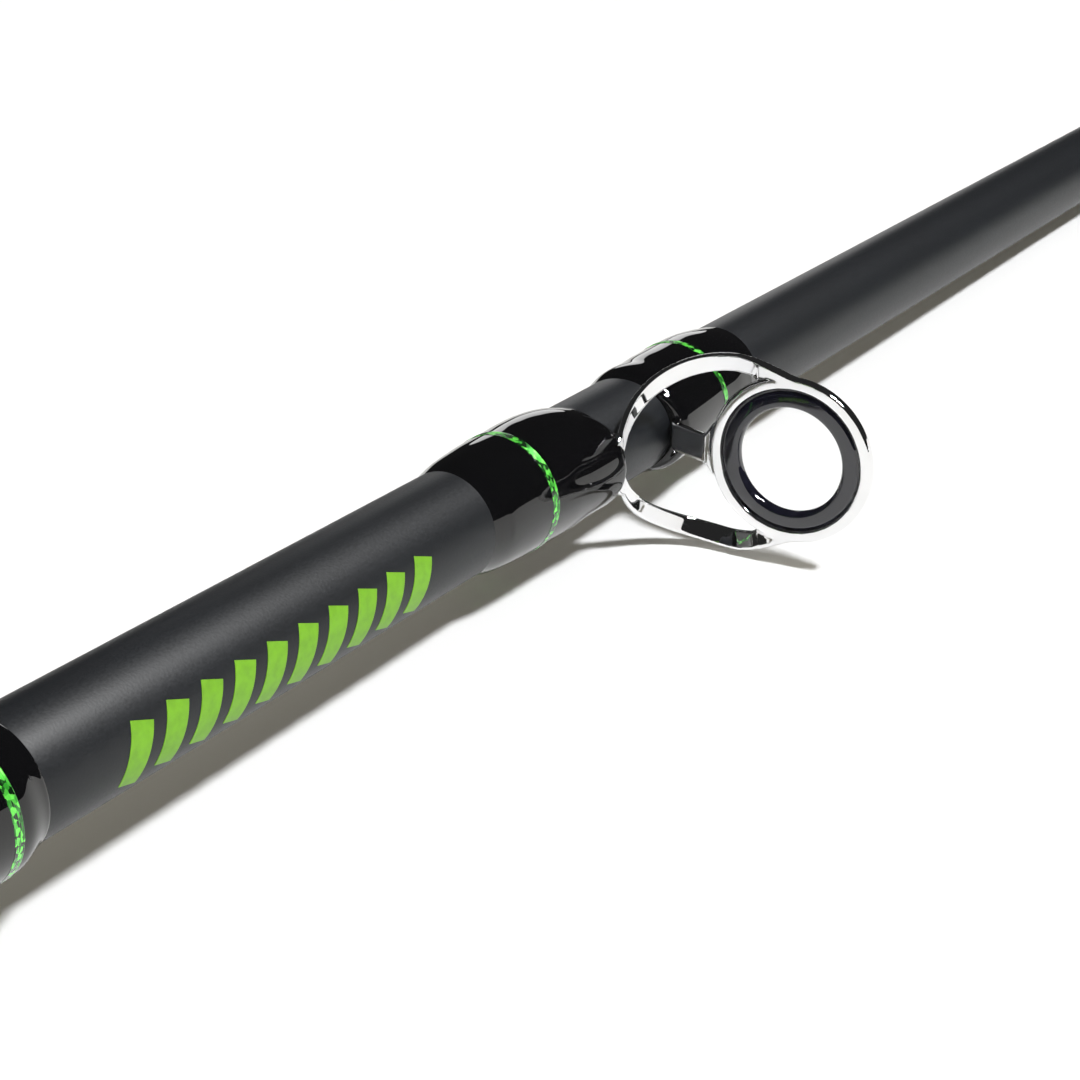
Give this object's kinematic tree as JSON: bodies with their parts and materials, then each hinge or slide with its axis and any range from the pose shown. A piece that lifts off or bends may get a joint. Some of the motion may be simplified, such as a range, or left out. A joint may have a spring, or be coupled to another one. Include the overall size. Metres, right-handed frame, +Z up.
{
  "type": "casting rod",
  "caption": "Two-section baitcasting fishing rod with a trigger reel seat, foam grips, a tapered black blank and chrome line guides bound on with black and green wraps.",
  "frame": {"origin": "centre of the butt cap's end face, on the rod's axis", "axes": "+X along the rod from butt to tip, +Z up, line guides pointing to -Y"},
  "size_m": [1.8317, 0.0479, 0.0252],
  "materials": {
    "guide_steel": "polished stamped steel",
    "ring_ceramic": "polished dark ceramic",
    "thread_epoxy": "black thread under clear epoxy",
    "trim_thread": "metallic green thread under clear epoxy",
    "blank": "satin black",
    "check_metal": "anodised",
    "grip_foam": "closed-cell foam",
    "cap_rubber": "matt",
    "arbor": "hidden",
    "seat": "satin",
    "hood": "anodised",
    "nut": "satin"
  },
  "bodies": {
    "handle": {"butt_cap": "cap_rubber", "rear_grip": "grip_foam", "rear_grip_check": "check_metal", "mid_grip": "grip_foam", "mid_grip_check": "check_metal", "handle_blank": "blank", "reel_seat": "seat", "seat_arbors": "arbor", "fore_check": "check_metal"},
    "upper_section": {"upper_blank": "blank", "ferrule_wrap": "thread_epoxy", "ferrule_trim": "trim_thread", "guide_1_frame": "guide_steel", "guide_2_frame": "guide_steel", "guide_3_frame": "guide_steel", "guide_4_frame": "guide_steel", "guide_5_frame": "guide_steel", "guide_6_frame": "guide_steel", "guide_7_frame": "guide_steel", "guide_8_frame": "guide_steel", "guide_1_ring": "ring_ceramic", "guide_2_ring": "ring_ceramic", "guide_3_ring": "ring_ceramic", "guide_4_ring": "ring_ceramic", "guide_5_ring": "ring_ceramic", "guide_6_ring": "ring_ceramic", "guide_7_ring": "ring_ceramic", "guide_8_ring": "ring_ceramic", "guide_1_wraps": "thread_epoxy", "guide_2_wraps": "thread_epoxy", "guide_3_wraps": "thread_epoxy", "guide_4_wraps": "thread_epoxy", "guide_5_wraps": "thread_epoxy", "guide_6_wraps": "thread_epoxy", "guide_7_wraps": "thread_epoxy", "guide_8_wraps": "thread_epoxy", "guide_1_trims": "trim_thread", "guide_2_trims": "trim_thread", "tip_top_frame": "guide_steel", "tip_top_ring": "ring_ceramic", "tip_wrap": "thread_epoxy"},
    "hood": {"sliding_hood": "hood"},
    "nut": {"lock_nut": "nut"}
  },
  "joints": [
    {"name": "ferrule_slide", "type": "slide", "parent": "handle", "child": "upper_section", "axis": [1, 0, 0], "range_m": [0, 0.09]},
    {"name": "hood_slide", "type": "slide", "parent": "handle", "child": "hood", "axis": [-1, 0, 0], "range_m": [0, 0.013]},
    {"name": "nut_turn", "type": "hinge", "parent": "hood", "child": "nut", "pos_m": [0.3723, 0, 0], "axis": [-1, 0, 0], "range_deg": [0, 2340]}
  ],
  "couplings": [
    {"joint": "nut_turn", "follows": "hood_slide", "rad_per_m": 3141.6}
  ]
}
